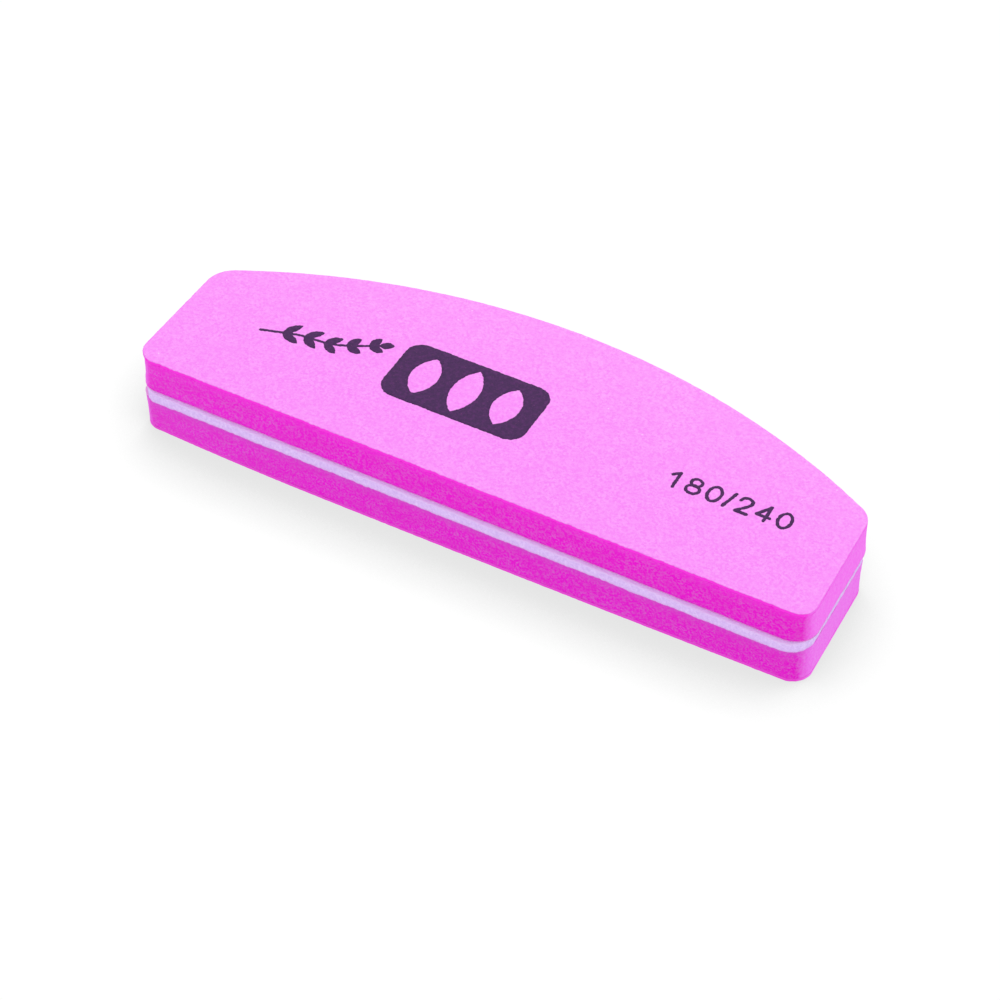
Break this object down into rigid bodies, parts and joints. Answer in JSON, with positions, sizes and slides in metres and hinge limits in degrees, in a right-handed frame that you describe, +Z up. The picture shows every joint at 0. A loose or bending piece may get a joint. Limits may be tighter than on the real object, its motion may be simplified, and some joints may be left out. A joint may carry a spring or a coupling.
{
  "type": "nail buffer block",
  "caption": "Half-moon nail buffer: a flat sponge sandwich with an abrasive sheet on each face and a stiff core, straight front edge, bowed back.",
  "frame": {"origin": "centre of the bounding box's lower face, where the block rests on its lower abrasive sheet", "axes": "+X along the straight front edge to the right, +Y from the front edge to the bowed back, +Z up through the sandwich"},
  "size_m": [0.0898, 0.03, 0.012],
  "materials": {
    "abrasive_pink": "matt coated abrasive, fine mineral grain",
    "foam_magenta": "matt closed-cell EVA foam, die-cut edge",
    "core_white": "satin white sheet with a lilac cast",
    "adhesive_clear": "dried transfer adhesive",
    "ink_plum": "matt printed ink on grain"
  },
  "bodies": {
    "root": {"lower_abrasive_sheet": "abrasive_pink", "lower_foam_pad": "foam_magenta", "core_board": "core_white", "upper_foam_pad": "foam_magenta", "upper_abrasive_sheet": "abrasive_pink", "lower_sheet_adhesive": "adhesive_clear", "lower_core_adhesive": "adhesive_clear", "upper_core_adhesive": "adhesive_clear", "upper_sheet_adhesive": "adhesive_clear", "ink_leaf_sprig": "ink_plum", "ink_emblem_plate": "ink_plum", "ink_grit_1_one": "ink_plum", "ink_grit_2_eight": "ink_plum", "ink_grit_3_zero": "ink_plum", "ink_grit_4_slash": "ink_plum", "ink_grit_5_two": "ink_plum", "ink_grit_6_four": "ink_plum", "ink_grit_7_zero": "ink_plum"}
  },
  "joints": []
}
